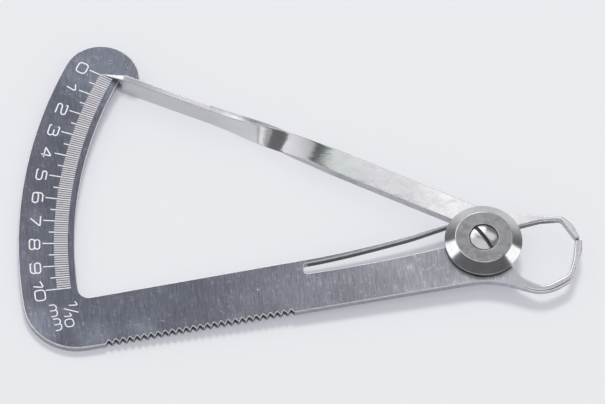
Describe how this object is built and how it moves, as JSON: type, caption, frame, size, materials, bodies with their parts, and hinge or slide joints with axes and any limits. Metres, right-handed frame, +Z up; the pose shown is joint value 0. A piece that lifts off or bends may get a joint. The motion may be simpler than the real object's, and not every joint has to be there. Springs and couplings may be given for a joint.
{
  "type": "dental spring caliper",
  "caption": "Flat steel spring caliper: a toothed frame with a curved millimetre scale, a pointer arm on a capped pivot, two bowed jaws and a leaf spring that closes them.",
  "frame": {"origin": "on the pivot axis, at the underside of the back nut on which the caliper rests", "axes": "+Z up along the pivot, out of the scale's face; +X from the pivot through the point where the closed jaw tips meet, so the scale lies towards -X; +Y completes the frame, on the pointer arm's side"},
  "size_m": [0.1006, 0.0614, 0.0058],
  "materials": {
    "frame_steel": "satin ground, with fine cross scratches",
    "arm_steel": "polished",
    "cap_steel": "turned, with fine concentric marks",
    "bush_steel": "turned and polished"
  },
  "bodies": {
    "frame": {"scale_frame": "frame_steel", "pivot_cap": "cap_steel", "pivot_screw": "cap_steel", "pivot_bush": "bush_steel", "back_nut": "cap_steel"},
    "arm": {"pointer_arm": "arm_steel"},
    "leaf": {"spring_leaf": "frame_steel"}
  },
  "joints": [
    {"name": "arm_hinge", "type": "hinge", "parent": "frame", "child": "arm", "pos_m": [0, 0, 0.0029], "axis": [0, 0, 1], "range_deg": [0, 33.9], "stiffness_Nm_per_rad": 0.02, "springref_deg": -22.92},
    {"name": "leaf_flex", "type": "hinge", "parent": "frame", "child": "leaf", "pos_m": [-0.0314, -0.00244, 0.00275], "axis": [0, 0, 1], "range_deg": [-7.9, 0]}
  ],
  "couplings": [
    {"joint": "leaf_flex", "follows": "arm_hinge", "ratio": -0.23}
  ]
}
